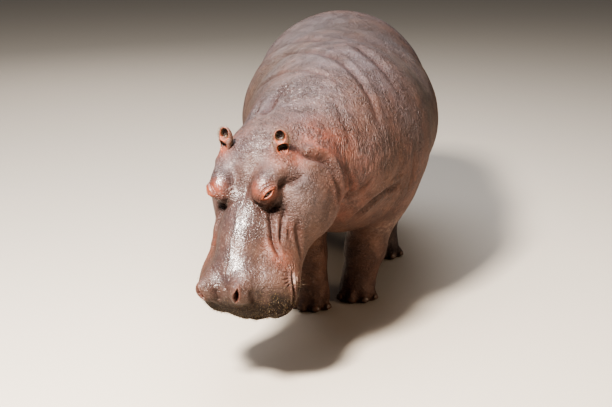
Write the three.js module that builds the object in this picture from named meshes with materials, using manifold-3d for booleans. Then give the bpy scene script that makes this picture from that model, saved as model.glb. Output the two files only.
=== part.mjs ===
// A common hippopotamus at life size, an adult cow of about 1.4 m at the shoulder, as a still model.
// She walks with her head lowered and her neck bent to her right. Millimetres, +Z up, she faces -Y and
// her left side is +X. The floor is Z = 0. She is drawn with the line of her forelegs at Y = 0 and is
// moved at the end, so that the middle of her outline seen from above is the origin.
//
// The body is one smooth distance field, negative inside, blended from named masses. It is turned into
// closed meshes region by region, and flat cuts part it into head, jaw, neck, trunk, legs, feet and tail.
import * as THREE from "three";
import { mergeVertices } from "three/addons/utils/BufferGeometryUtils.js";
import Module from "manifold-3d";

const wasm = await Module();
wasm.setup();

// ---------- driving sizes ----------

const RUMP_HEIGHT = 1455;
const BARREL_WIDTH = 1165;
const BELLY_CLEARANCE = 415;
const MUZZLE_WIDTH = 450;
const EYE_RADIUS = 24;
const FOOT_HEIGHT = 105;
const LEG_TOP = 362; // where the legs leave the trunk
const TAIL_ROOT_Y = 1932;
const CUT_GAP = 0.4; // between neighbouring pieces
const TO_ORIGIN = [35, -344, 0]; // from the forelegs' line, where she is drawn, to the middle of her outline

const LEFT = 1;
const RIGHT = -1;
const SIDES = [LEFT, RIGHT];

// ---------- distance fields ----------

const smoothUnion = (a, b, blend) => {
  const overlap = Math.max(blend - Math.abs(a - b), 0) / blend;
  return Math.min(a, b) - (overlap * overlap * blend) / 4;
};
const smoothCut = (a, b, blend) => -smoothUnion(-a, b, blend);

// A rigid placement: Euler angles in degrees, applied in the given order.
function placement([x, y, z], [rx, ry, rz], order) {
  const angles = [rx, ry, rz].map(THREE.MathUtils.degToRad);
  return new THREE.Matrix4().makeRotationFromEuler(new THREE.Euler(...angles, order)).setPosition(x, y, z);
}

// The same shape seen in another frame.
const inFrame = (frame, shape) => {
  const m = frame.clone().invert().elements;
  return (x, y, z) =>
    shape(
      m[0] * x + m[4] * y + m[8] * z + m[12],
      m[1] * x + m[5] * y + m[9] * z + m[13],
      m[2] * x + m[6] * y + m[10] * z + m[14],
    );
};

// An ellipsoid of the given half sizes, turned about the vertical by some degrees.
function ellipsoid([cx, cy, cz], [rx, ry, rz], turn = 0) {
  const c = Math.cos(THREE.MathUtils.degToRad(turn));
  const s = Math.sin(THREE.MathUtils.degToRad(turn));
  return (x, y, z) => {
    const dx = x - cx;
    const dy = y - cy;
    const u = (c * dx + s * dy) / rx;
    const v = (c * dy - s * dx) / ry;
    const w = (z - cz) / rz;
    const k0 = Math.hypot(u, v, w);
    const k1 = Math.hypot(u / rx, v / ry, w / rz);
    return k1 < 1e-9 ? -Math.min(rx, ry, rz) : (k0 * (k0 - 1)) / k1;
  };
}

// A cone with round ends, of radius ra at a and rb at b.
function taper([ax, ay, az], ra, [bx, by, bz], rb) {
  const ux = bx - ax;
  const uy = by - ay;
  const uz = bz - az;
  const length2 = ux * ux + uy * uy + uz * uz;
  return (x, y, z) => {
    const dx = x - ax;
    const dy = y - ay;
    const dz = z - az;
    const t = THREE.MathUtils.clamp((dx * ux + dy * uy + dz * uz) / length2, 0, 1);
    return Math.hypot(dx - t * ux, dy - t * uy, dz - t * uz) - (ra + (rb - ra) * t);
  };
}

const mass = (shape, blend) => ({ shape, blend });
const hollow = (shape, blend) => ({ shape, blend, cut: true });
const pair = (make) => SIDES.map(make);

// The masses joined in turn, each with its own blend. The first one needs none.
const blendAll = (masses) => (x, y, z) => {
  let d = Infinity;
  for (const { shape, blend, cut } of masses) {
    const other = shape(x, y, z);
    if (cut) d = smoothCut(d, other, blend);
    else d = d === Infinity ? other : smoothUnion(d, other, blend);
  }
  return d;
};

// ---------- trunk and neck ----------

const barrelHalf = (RUMP_HEIGHT - 25 - BELLY_CLEARANCE) / 2;
const trunkMasses = [
  mass(ellipsoid([0, 740, BELLY_CLEARANCE + barrelHalf], [BARREL_WIDTH / 2, 960, barrelHalf])),
  mass(ellipsoid([0, 60, 955], [440, 560, 450]), 220),
  mass(ellipsoid([0, 1360, RUMP_HEIGHT - 500], [515, 540, 500]), 200),
  ...pair((s) => mass(ellipsoid([s * 255, 60, 805], [160, 290, 310]), 120)),
  ...pair((s) => mass(ellipsoid([s * 300, 1420, 790], [195, 330, 390]), 130)),
  mass(ellipsoid([0, -170, 730], [240, 240, 215]), 160),
];
const neckMasses = [
  mass(taper([0, 60, 975], 410, [-110, -330, 975], 370), 180),
  mass(taper([-110, -330, 975], 370, [-245, -640, 965], 290), 100),
];

// ---------- head, in its own frame: x to her left, y back from the nose, z up through the crown ----------

const headFrame = placement([-348, -845, 1122], [53.8, -7.5, -19.6], "ZXY");
const headMasses = [
  mass(ellipsoid([0, -110, -20], [155, 220, 135])),
  ...pair((s) => mass(ellipsoid([s * 113, -266, 84], [53, 64, 56]), 45)),
  ...pair((s) => mass(taper([s * 122, -235, 66], 42, [s * 150, -80, 38], 48), 80)),
  mass(ellipsoid([0, -440, -30], [120, 330, 112]), 70),
  mass(ellipsoid([8, -672, -90], [MUZZLE_WIDTH / 2 - 22, 135, 130]), 60),
  ...pair((s) => mass(ellipsoid([s * 139 + 6, -640, -168], [112, 152, 130]), 50)),
  mass(ellipsoid([0, -680, -180], [130, 118, 110]), 50),
  ...pair((s) => mass(ellipsoid([s * 84, -728, 18], [50, 66, 44]), 55)),
  mass(ellipsoid([0, -650, -250], [165, 140, 75]), 40),
  ...pair((s) => mass(taper([s * 110, -600, -230], 75, [s * 150, -110, -240], 110), 60)),
  ...pair((s) => mass(ellipsoid([s * 194 + 14, -165 - s * 10, -187], [116, 215, 215]), 62)),
  mass(ellipsoid([0, -430, -235], [120, 270, 80]), 60),
  mass(ellipsoid([0, -130, -190], [170, 230, 140]), 90),
  ...pair((s) => mass(ellipsoid([s * 130, -400, -155], [85, 240, 140]), 70)),
];
const EYE_PLACE = [144, -287, 97];
const HEAD_LOW = [-420, -960, -400];
const HEAD_HIGH = [420, 100, 260];
const MOUTH = { corner: -350, height: -215 }; // how far back it runs and where the jaws part

// ---------- legs ----------

// Each leg's joints from the trunk down, as [x, y, z, radius], and the middle and heading of its foot.
const LEGS = {
  fore_left: {
    at: [[215, 90, 640, 148], [152, 110, 300, 110], [116, 110, 120, 98]],
    foot: [104, 95],
    turn: 4,
  },
  fore_right: {
    at: [[-240, 70, 640, 158], [-182, 10, 300, 112], [-148, -30, 120, 98]],
    foot: [-144, -50],
    turn: -8,
  },
  hind_left: {
    at: [[300, 1360, 700, 215], [270, 1130, 440, 150], [255, 990, 240, 106], [265, 890, 120, 98]],
    foot: [272, 862],
    turn: 10,
  },
  hind_right: {
    at: [[-300, 1400, 700, 215], [-285, 1420, 440, 150], [-275, 1560, 260, 106], [-272, 1560, 120, 98]],
    foot: [-272, 1530],
    turn: -6,
  },
};
const TOE_ANGLES = [-58, -20, 20, 58];
const TOE_REACH = 78;

const footFrame = ({ foot: [x, y], turn }) => placement([x, y, 0], [0, 0, turn], "XYZ");
const toeFrame = (angle) => placement([0, 0, 0], [0, 0, angle], "XYZ");
const footMasses = [
  mass(ellipsoid([0, 8, 42], [98, 104, 88])),
  ...TOE_ANGLES.map((angle) =>
    mass(inFrame(toeFrame(angle), ellipsoid([0, -TOE_REACH, 30], [33, 50, 46])), 16),
  ),
];
const legMasses = (leg) => [
  ...leg.at.slice(1).map((to, i) => mass(taper(leg.at[i], leg.at[i][3], to, to[3]), i ? 50 : 120)),
  mass(inFrame(footFrame(leg), blendAll(footMasses)), 50),
];

// ---------- tail ----------

const tailMasses = [
  mass(taper([0, 1850, 1120], 82, [0, 1985, 930], 50), 90),
  mass(taper([0, 1985, 930], 50, [0, 2010, 700], 34), 20),
  mass(ellipsoid([0, 2010, 600], [34, 20, 120]), 40),
];

// ---------- ears, in the ear's own frame: z up the ear, and its hollow faces -y ----------

const earField = blendAll([
  mass(ellipsoid([0, 0, 62], [41, 24, 56])),
  mass(taper([0, 4, -30], 38, [0, 0, 34], 32), 22),
  hollow(ellipsoid([0, -22, 78], [28, 26, 40]), 7),
]);
const EAR_SIZE = 0.92;
// The right ear is held further back than the left one.
const EAR_PLACES = {
  [LEFT]: placement([152, -66, 78], [-34, 24, 20], "ZYX"),
  [RIGHT]: placement([-146, -62, 78], [-40, 0, -15], "ZYX"),
};
const earFrame = (side) =>
  headFrame
    .clone()
    .multiply(EAR_PLACES[side])
    .scale(new THREE.Vector3(EAR_SIZE, EAR_SIZE, EAR_SIZE));

// ---------- meshes from fields ----------

// Whether the corners of a cell named by the bits of a mask hang together along the cell's edges.
const joined = Array.from({ length: 256 }, (_, mask) => {
  let reached = mask & -mask;
  for (let round = 0; round < 8; round += 1)
    for (let c = 0; c < 8; c += 1)
      if (mask & (1 << c) && [1, 2, 4].some((bit) => reached & (1 << (c ^ bit)))) reached |= 1 << c;
  return reached === mask;
});

// Fills the grid points where two sheets of surface would meet in one cell, so that every mesh is closed.
function untangle(value, n, index, corners) {
  for (let changed = true, round = 0; changed && round < 50; round += 1) {
    changed = false;
    for (let k = 0; k < n[2] - 1; k += 1)
      for (let j = 0; j < n[1] - 1; j += 1)
        for (let i = 0; i < n[0] - 1; i += 1) {
          const at = corners.map(([a, b, c]) => index(i + a, j + b, k + c));
          const inside = at.reduce((mask, p, c) => mask | (value[p] < 0 ? 1 << c : 0), 0);
          if (joined[inside] && joined[255 - inside]) continue;
          const open = at.filter((p) => value[p] >= 0).sort((p, q) => value[p] - value[q]);
          value[open[0]] = -1e-3;
          changed = true;
        }
  }
}

// Surface nets: one vertex in each grid cell that the surface crosses, then moved onto it.
function polygonise(field, low, high, cell) {
  const n = low.map((v, i) => Math.ceil((high[i] - v) / cell) + 4);
  const at = (i, axis) => low[axis] + (i - 1.5) * cell;
  const value = new Float64Array(n[0] * n[1] * n[2]);
  const index = (i, j, k) => i + n[0] * (j + n[1] * k);
  for (let k = 0; k < n[2]; k += 1)
    for (let j = 0; j < n[1]; j += 1)
      for (let i = 0; i < n[0]; i += 1) {
        const rim = i === 0 || j === 0 || k === 0 || i === n[0] - 1 || j === n[1] - 1 || k === n[2] - 1;
        value[index(i, j, k)] = rim ? Infinity : field(at(i, 0), at(j, 1), at(k, 2));
      }
  const vertexOf = new Map();
  const points = [];
  const corners = [0, 1, 2, 3, 4, 5, 6, 7].map((c) => [c & 1, (c >> 1) & 1, c >> 2]);
  untangle(value, n, index, corners);
  for (let k = 0; k < n[2] - 1; k += 1)
    for (let j = 0; j < n[1] - 1; j += 1)
      for (let i = 0; i < n[0] - 1; i += 1) {
        const v = corners.map(([a, b, c]) => value[index(i + a, j + b, k + c)]);
        if (v.every((d) => d < 0) || v.every((d) => d >= 0)) continue;
        const sum = [0, 0, 0];
        let crossings = 0;
        corners.forEach((p, c) =>
          [1, 2, 4].forEach((bit) => {
            const other = c | bit;
            if (other === c || v[c] < 0 === v[other] < 0) return;
            const t = Number.isFinite(v[c] - v[other]) ? v[c] / (v[c] - v[other]) : 0.5;
            corners[other].forEach((q, axis) => (sum[axis] += p[axis] + t * (q - p[axis])));
            crossings += 1;
          }),
        );
        const rim = [i, j, k].some((m, axis) => m === 0 || m === n[axis] - 2);
        const start = [i, j, k].map((m, axis) => at(m + sum[axis] / crossings, axis));
        vertexOf.set(index(i, j, k), points.length / 3);
        points.push(...(rim ? start : ontoSurface(field, start, cell)));
      }
  const triangles = [];
  const steps = [[1, 0, 0], [0, 1, 0], [0, 0, 1]];
  for (let k = 0; k < n[2] - 1; k += 1)
    for (let j = 0; j < n[1] - 1; j += 1)
      for (let i = 0; i < n[0] - 1; i += 1)
        steps.forEach(([a, b, c], axis) => {
          const inside = value[index(i, j, k)] < 0;
          if (inside === value[index(i + a, j + b, k + c)] < 0) return;
          const u = steps[(axis + 1) % 3];
          const w = steps[(axis + 2) % 3];
          const quad = [[1, 1], [0, 1], [0, 0], [1, 0]].map(([p, q]) =>
            vertexOf.get(index(i - p * u[0] - q * w[0], j - p * u[1] - q * w[1], k - p * u[2] - q * w[2])),
          );
          const [q0, q1, q2, q3] = inside ? quad : [...quad].reverse();
          triangles.push(q0, q1, q2, q0, q2, q3);
        });
  const geometry = new THREE.BufferGeometry();
  geometry.setAttribute("position", new THREE.Float32BufferAttribute(points, 3));
  geometry.setIndex(triangles);
  return solidOf(geometry);
}

// A few steps along the slope, none longer than a quarter of a cell, so that the mesh keeps its form.
function ontoSurface(field, start, cell) {
  let p = start;
  for (let round = 0; round < 3; round += 1) {
    const g = p.map((_, axis) => {
      const ahead = [...p];
      const behind = [...p];
      ahead[axis] += 1;
      behind[axis] -= 1;
      return (field(...ahead) - field(...behind)) / 2;
    });
    const steepness = g.reduce((s, v) => s + v * v, 1e-9);
    const d = THREE.MathUtils.clamp(field(...p), -cell / 4, cell / 4);
    p = p.map((v, i) => v - (d * g[i]) / steepness);
  }
  return p;
}

function solidOf(geometry) {
  const bare = geometry.clone();
  bare.deleteAttribute("normal");
  bare.deleteAttribute("uv");
  const merged = mergeVertices(bare, 1e-3);
  return new wasm.Manifold(
    new wasm.Mesh({
      numProp: 3,
      vertProperties: merged.attributes.position.array,
      triVerts: new Uint32Array(merged.index.array),
    }),
  );
}

function geometryOf(solid) {
  const { vertProperties, triVerts } = solid.getMesh();
  const geometry = new THREE.BufferGeometry();
  geometry.setAttribute("position", new THREE.BufferAttribute(new Float32Array(vertProperties), 3));
  geometry.setIndex(new THREE.BufferAttribute(new Uint32Array(triVerts), 1));
  return geometry;
}

// A box from its low corner to its high corner.
function box(low, high) {
  const size = high.map((v, i) => v - low[i]);
  const geometry = new THREE.BoxGeometry(...size);
  geometry.translate(...low.map((v, i) => v + size[i] / 2));
  return solidOf(geometry);
}

// An egg of the given half sizes, grown by a clearance.
const egg = (half, clearance, columns, rows) =>
  solidOf(new THREE.SphereGeometry(1, columns, rows).scale(...half.map((r) => r + clearance)));

const moved = (solid, frame) => solid.transform(frame.elements);

// The largest body of a cut, without stray slivers.
const wholeOf = (solid) =>
  solid.decompose().reduce((largest, part) => (part.volume() > largest.volume() ? part : largest));

// ---------- pieces ----------

const FAR = 3000;
const half = CUT_GAP / 2;
const legs = Object.entries(LEGS);
const bodyMasses = (someLegs) => [
  ...trunkMasses,
  ...neckMasses,
  ...someLegs.flatMap(([, leg]) => legMasses(leg)),
  mass(inFrame(headFrame, blendAll(headMasses)), 110),
  ...tailMasses,
];
const wholeField = blendAll(bodyMasses(legs));
const pieces = {};

// The trunk in three lengths behind a slanting cut at the root of the neck.
const neckCut = placement([0, -260, 0], [0, 0, -16], "XYZ");
const aheadOfCut = moved(box([-FAR, -FAR, -FAR], [FAR, -half, FAR]), neckCut);
const behindCut = moved(box([-FAR, half, -FAR], [FAR, FAR, FAR]), neckCut);
const trunkSolid = polygonise(wholeField, [-640, -560, LEG_TOP], [640, TAIL_ROOT_Y, 1500], 125)
  .intersect(box([-FAR, -FAR, LEG_TOP + half], [FAR, TAIL_ROOT_Y - half, FAR]))
  .intersect(behindCut);
const LENGTHS = { shoulders: [-FAR, 430], barrel: [430, 1130], rump: [1130, FAR] };
for (const [name, [from, to]] of Object.entries(LENGTHS)) {
  pieces[name] = wholeOf(trunkSolid.intersect(box([-FAR, from + half, -FAR], [FAR, to - half, FAR])));
}

// The head and the jaw, meshed in the head's own frame, and the neck behind them.
const inHeadFrame = inFrame(headFrame.clone().invert(), wholeField);
const headBox = (grow) => box(HEAD_LOW.map((v) => v - grow), HEAD_HIGH.map((v) => v + grow));
const jawBox = (grow) => box([-FAR, -FAR, -FAR], [FAR, MOUTH.corner + grow, MOUTH.height + grow]);
const wholeHead = polygonise(inHeadFrame, HEAD_LOW, HEAD_HIGH, 46).intersect(headBox(-half));
pieces.lower_jaw = wholeOf(moved(wholeHead.intersect(jawBox(-half)), headFrame));
pieces.head = wholeOf(moved(wholeHead.subtract(jawBox(half)), headFrame));
pieces.neck = wholeOf(
  polygonise(wholeField, [-780, -1230, 480], [420, -60, 1500], 100)
    .intersect(aheadOfCut)
    .subtract(moved(headBox(half), headFrame)),
);

// Eyes in sockets on the outer side of the orbits.
for (const [side, name] of [[LEFT, "left"], [RIGHT, "right"]]) {
  const [x, y, z] = EYE_PLACE;
  const place = headFrame.clone().multiply(placement([side * x, y, z], [0, 0, 0], "XYZ"));
  pieces[`eye_${name}`] = moved(egg([EYE_RADIUS, EYE_RADIUS, EYE_RADIUS], 0, 9, 6), place);
  pieces.head = pieces.head.subtract(moved(egg([EYE_RADIUS, EYE_RADIUS, EYE_RADIUS], 0.6, 9, 6), place));
}

// Ears on short stalks that stand in the head.
for (const [side, name] of [[LEFT, "left"], [RIGHT, "right"]]) {
  const grown = (x, y, z) => earField(x, y, z) - 3;
  pieces[`ear_${name}`] = moved(polygonise(earField, [-48, -32, -68], [48, 42, 124], 20), earFrame(side));
  const socket = moved(polygonise(grown, [-48, -32, -68], [48, 42, 124], 20), earFrame(side));
  pieces.head = pieces.head.subtract(socket);
}

// Legs and feet, flat under the sole, with four nails on each foot.
for (const [name, leg] of legs) {
  const field = blendAll(bodyMasses([[name, leg]]));
  const xs = [...leg.at.map((p) => p[0]), leg.foot[0]];
  const ys = [...leg.at.slice(1).map((p) => p[1]), leg.foot[1]];
  const low = [Math.min(...xs) - 190, Math.min(...ys) - 190];
  const high = [Math.max(...xs) + 190, Math.max(...ys) + 190];
  pieces[`${name}_leg`] = wholeOf(
    polygonise(field, [...low, FOOT_HEIGHT - 60], [...high, LEG_TOP + 60], 72).intersect(
      box([-FAR, -FAR, FOOT_HEIGHT + half], [FAR, FAR, LEG_TOP - half]),
    ),
  );
  let foot = polygonise(field, [...low, -60], [...high, FOOT_HEIGHT + 40], 45).intersect(
    box([-FAR, -FAR, 0], [FAR, FAR, FOOT_HEIGHT - half]),
  );
  TOE_ANGLES.forEach((angle, i) => {
    const lean = placement([0, -TOE_REACH - 43, 27], [-14, 0, 0], "XYZ");
    const place = footFrame(leg).multiply(toeFrame(angle)).multiply(lean);
    pieces[`${name}_nail_${i + 1}`] = moved(egg([21, 11, 20], 0, 6, 4), place);
    foot = foot.subtract(moved(egg([21, 11, 20], 0.5, 6, 4), place));
  });
  pieces[`${name}_foot`] = wholeOf(foot);
}

// The tail hangs clear of the rump.
pieces.tail = wholeOf(
  polygonise(wholeField, [-90, TAIL_ROOT_Y - 60, 440], [90, 2120, 1240], 44).intersect(
    box([-FAR, TAIL_ROOT_Y + half, -FAR], [FAR, FAR, FAR]),
  ),
);

// ---------- materials and assembly ----------

const hide = new THREE.MeshStandardMaterial({ color: 0x6f5a56, roughness: 0.5, metalness: 0 });
const horn = new THREE.MeshStandardMaterial({ color: 0x3a302c, roughness: 0.45, metalness: 0 });
const cornea = new THREE.MeshPhysicalMaterial({ color: 0x2a1a12, roughness: 0.06, clearcoat: 1 });

const hippopotamus = new THREE.Group();
for (const [name, solid] of Object.entries(pieces)) {
  const finish = name.startsWith("eye") ? cornea : name.includes("nail") ? horn : hide;
  const mesh = new THREE.Mesh(geometryOf(solid).translate(...TO_ORIGIN), finish);
  mesh.name = name;
  hippopotamus.add(mesh);
}

export default hippopotamus;
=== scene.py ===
import math
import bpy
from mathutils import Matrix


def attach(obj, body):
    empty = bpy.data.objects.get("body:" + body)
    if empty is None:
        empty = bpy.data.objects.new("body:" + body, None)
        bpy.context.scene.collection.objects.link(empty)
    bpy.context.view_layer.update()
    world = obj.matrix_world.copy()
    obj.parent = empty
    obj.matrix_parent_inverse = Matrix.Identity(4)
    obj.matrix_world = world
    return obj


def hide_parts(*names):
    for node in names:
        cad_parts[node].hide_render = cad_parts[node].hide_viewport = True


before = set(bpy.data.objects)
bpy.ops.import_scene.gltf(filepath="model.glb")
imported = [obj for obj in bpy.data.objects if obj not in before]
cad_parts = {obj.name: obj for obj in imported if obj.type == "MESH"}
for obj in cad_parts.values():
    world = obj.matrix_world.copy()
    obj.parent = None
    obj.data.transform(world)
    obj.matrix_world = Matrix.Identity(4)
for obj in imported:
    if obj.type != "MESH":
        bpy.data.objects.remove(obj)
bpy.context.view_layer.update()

from concurrent.futures import ThreadPoolExecutor

import bpy
import numpy as np
from mathutils import Matrix, Vector

# The hippopotamus is drawn in millimetres with the line of her forelegs at Y = 0, as the solids are,
# and every finished mesh is then moved to the frame of the part, in metres.
TO_ORIGIN = np.array([35.0, -344.0, 0.0])
LEFT, RIGHT = 1, -1
SIDES = (LEFT, RIGHT)

# ---------- camera ----------

PHOTO_WIDTH = 612
FOCAL_PIXELS = 1253.0
SENSOR = 36.0
CAMERA_AT = Vector((0.058, -6.600, 2.5))
CAMERA_LOOK = Vector((-0.0345, 0.9596, -0.2792))

camera_data = bpy.data.cameras.new("camera")
camera_data.sensor_width = SENSOR
camera_data.lens = SENSOR * FOCAL_PIXELS / PHOTO_WIDTH
camera_data.clip_end = 200
camera = bpy.data.objects.new("camera", camera_data)
bpy.context.collection.objects.link(camera)
camera.location = CAMERA_AT + Vector(TO_ORIGIN / 1000)
camera.rotation_mode = "QUATERNION"
camera.rotation_quaternion = CAMERA_LOOK.to_track_quat("-Z", "Y")
bpy.context.scene.camera = camera
bpy.context.scene.view_settings.look = "AgX - High Contrast"

# ---------- distance fields, negative inside ----------


def smooth_union(a, b, blend):
    overlap = np.maximum(blend - np.abs(a - b), 0) / blend
    return np.minimum(a, b) - overlap * overlap * blend / 4


def ellipsoid(centre, half, turn=0.0):
    centre = np.array(centre, np.float32)
    half = np.array(half, np.float32)
    c, s = math.cos(math.radians(turn)), math.sin(math.radians(turn))
    turned = np.array([[c, -s, 0], [s, c, 0], [0, 0, 1]], np.float32)

    def shape(p):
        q = ((p - centre) @ turned if turn else p - centre) / half
        k0 = np.sqrt(np.einsum("ij,ij->i", q, q))
        q /= half
        k1 = np.sqrt(np.einsum("ij,ij->i", q, q)) + 1e-9
        return k0 * (k0 - 1) / k1

    return shape


def taper(a, ra, b, rb):
    a, b = np.array(a, np.float32), np.array(b, np.float32)
    along = (b - a) / np.dot(b - a, b - a)

    def shape(p):
        d = p - a
        t = np.clip(d @ along, 0, 1)
        d = d - t[:, None] * (b - a)
        return np.sqrt(np.einsum("ij,ij->i", d, d)) - (ra + (rb - ra) * t)

    return shape


def placement(at, angles, order="XYZ"):
    """A rigid placement: Euler angles in degrees about the axes, the last letter applied first."""
    turn = Matrix.Identity(4)
    for letter in order:
        angle = math.radians(angles["XYZ".index(letter)])
        turn = turn @ Matrix.Rotation(angle, 4, letter)
    return Matrix.Translation(Vector(at)) @ turn


def in_frame(place, shape):
    axes = np.array(place.to_3x3(), np.float32)
    origin = np.array(place.translation, np.float32)
    return lambda p: shape((p - origin) @ axes)


def mass(shape, blend=0.0):
    return (shape, blend, False)


def hollow(shape, blend):
    return (shape, blend, True)


def pair(make):
    return [make(side) for side in SIDES]


def join(values, masses):
    d = None
    for other, (_, blend, cut) in zip(values, masses):
        if d is None:
            d = other
        elif cut:
            d = -smooth_union(-d, other, blend)
        else:
            d = smooth_union(d, other, blend)
    return d


class Field:
    """Masses joined in turn. Those too far from all the points of a call to matter are skipped."""

    def __init__(self, masses):
        self.masses = masses
        blends = [m[1] for m in masses]
        self.reach = np.array([max(blends[i:]) + 30 for i in range(len(blends))], np.float32)

    def near(self, centres, radii):
        values = np.stack([m[0](centres) for m in self.masses])
        here = join(values, self.masses)
        near = values < here + 2.6 * radii + self.reach[:, None]
        near[0] = True
        return here, near

    def chosen(self, p, near):
        masses = [m for m, n in zip(self.masses, near) if n]
        return join([m[0](p) for m in masses], masses)

    def __call__(self, p):
        centre = p.mean(0, keepdims=True)
        radius = np.sqrt(((p - centre) ** 2).sum(1).max())
        return self.chosen(p, self.near(centre, np.array([radius]))[1][:, 0])


def evaluate(field, p, block=110.0):
    """The field at many scattered points, taken block by block."""
    key = np.floor(p / block).astype(np.int64)
    key = key[:, 0] * 1000003 + key[:, 1] * 1009 + key[:, 2]
    order = np.argsort(key, kind="stable")
    starts = np.flatnonzero(np.diff(key[order], prepend=key[order[0]] - 1))
    ends = np.append(starts[1:], len(p))
    sorted_points = p[order]
    centres = np.add.reduceat(sorted_points, starts, axis=0) / (ends - starts)[:, None]
    centres = centres.astype(np.float32)
    away = sorted_points - np.repeat(centres, ends - starts, axis=0)
    radii = np.sqrt(np.maximum.reduceat((away**2).sum(1), starts))
    _, near = field.near(centres, radii)
    out = np.empty(len(p), np.float32)

    def work(i):
        out[order[starts[i] : ends[i]]] = field.chosen(sorted_points[starts[i] : ends[i]], near[:, i])

    with ThreadPoolExecutor(4) as pool:
        list(pool.map(work, range(len(starts))))
    return out


def onto_surface(field, p, rounds=2, limit=6.0, step=1.0):
    """Points moved along the field's slope until they lie on its surface, and their normals."""
    p = p.astype(np.float32)
    shifts = np.concatenate([np.zeros((1, 3)), np.eye(3) * step]).astype(np.float32)
    for _ in range(rounds):
        around = (p[:, None] + shifts).reshape(-1, 3)
        values = evaluate(field, around).reshape(-1, 4)
        slope = (values[:, 1:] - values[:, :1]) / step
        steep = np.maximum((slope**2).sum(1), 0.05)
        p = p - slope * (np.clip(values[:, 0], -limit, limit) / steep)[:, None]
    return p, slope / np.sqrt(steep)[:, None]


def polygonise(field, low, high, cell, block=8):
    """Surface nets on a grid, filled in only near the surface. Returns points and quads."""
    low = np.array(low, np.float32)
    count = [int(math.ceil((h - l) / cell / block)) * block for l, h in zip(low, high)]
    blocks = [c // block for c in count]
    corner = np.stack(np.meshgrid(*[np.arange(b) for b in blocks], indexing="ij"), -1).reshape(-1, 3)
    centres = (low + (corner * block + (block - 1) / 2) * cell).astype(np.float32)
    radius = block * cell * 0.87
    coarse, near = field.near(centres, np.full(len(centres), radius, np.float32))
    value = np.empty(count, np.float32)
    inner = np.stack(np.meshgrid(*[np.arange(block)] * 3, indexing="ij"), -1).reshape(-1, 3) * cell

    def work(index):
        i, j, k = corner[index] * block
        part = coarse[index]
        if abs(part) < radius * 1.5:
            points = (low + np.array([i, j, k]) * cell + inner).astype(np.float32)
            part = field.chosen(points, near[:, index]).reshape([block] * 3)
        value[i : i + block, j : j + block, k : k + block] = part

    with ThreadPoolExecutor(4) as pool:
        list(pool.map(work, range(len(corner))))
    inside = value < 0
    total = np.zeros([c - 1 for c in count], np.int8)
    halves = (slice(None, -1), slice(1, None))
    corners = [(a, b, c) for a in (0, 1) for b in (0, 1) for c in (0, 1)]
    for a, b, c in corners:
        total += inside[halves[a], halves[b], halves[c]]
    cells = np.argwhere((total > 0) & (total < 8))
    number = np.full(total.shape, -1, np.int64)
    number[tuple(cells.T)] = np.arange(len(cells))
    spot = np.zeros((len(cells), 3), np.float32)
    crossings = np.zeros(len(cells), np.float32)
    for start in corners:
        for axis in range(3):
            if start[axis]:
                continue
            end = list(start)
            end[axis] = 1
            v0 = value[tuple((cells + start).T)]
            v1 = value[tuple((cells + end).T)]
            crossing = (v0 < 0) != (v1 < 0)
            t = np.where(crossing, v0 / np.where(crossing, v0 - v1, 1), 0)
            for along in range(3):
                spot[:, along] += crossing * (t if along == axis else start[along])
            crossings += crossing
    points = low + (cells + spot / crossings[:, None]) * cell
    quads = []
    for axis in range(3):
        u, w = (axis + 1) % 3, (axis + 2) % 3
        first = [slice(1, -1)] * 3
        second = [slice(1, -1)] * 3
        first[axis], second[axis] = slice(0, -1), slice(1, None)
        out = inside[tuple(first)] != inside[tuple(second)]
        at = np.argwhere(out)
        at[:, u] += 1
        at[:, w] += 1
        ring = []
        for p, q in ((1, 1), (0, 1), (0, 0), (1, 0)):
            around = at.copy()
            around[:, u] -= p
            around[:, w] -= q
            ring.append(number[tuple(around.T)])
        ring = np.stack(ring, 1)
        flip = ~inside[tuple(first)][out]
        ring[flip] = ring[flip][:, ::-1]
        quads.append(ring)
    return points.astype(np.float32), np.concatenate(quads)


def refine(points, quads, others, chosen):
    """Splits the chosen quads in four. Their neighbours take the new corners in, as longer faces."""
    size = len(points)
    after = np.roll(quads, -1, axis=1)
    keys = np.minimum(quads, after) * size + np.maximum(quads, after)
    split = np.unique(keys[chosen])
    middles = (points[split // size] + points[split % size]) / 2
    corners = quads[chosen]
    centre = size + len(split) + np.arange(len(corners))
    middle = size + np.searchsorted(split, keys[chosen])
    before = np.roll(middle, 1, axis=1)
    small = np.stack([corners, middle, np.repeat(centre[:, None], 4, 1), before], 2).reshape(-1, 4)
    points = np.concatenate([points, middles, points[corners].mean(1)])
    kept = quads[~chosen]
    touched = np.isin(keys[~chosen], split).any(1)
    wider = []
    for face in [*kept[touched], *others]:
        ring = []
        for a, b in zip(face, np.roll(face, -1)):
            ring.append(a)
            key = min(a, b) * size + max(a, b)
            at = np.searchsorted(split, key)
            if at < len(split) and split[at] == key:
                ring.append(size + at)
        wider.append(np.array(ring))
    return points, np.concatenate([kept[~touched], small]), wider


# ---------- the body's masses, the same as the solids' ----------

RUMP_HEIGHT = 1455
BARREL_WIDTH = 1165
BELLY_CLEARANCE = 415
MUZZLE_WIDTH = 450

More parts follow.
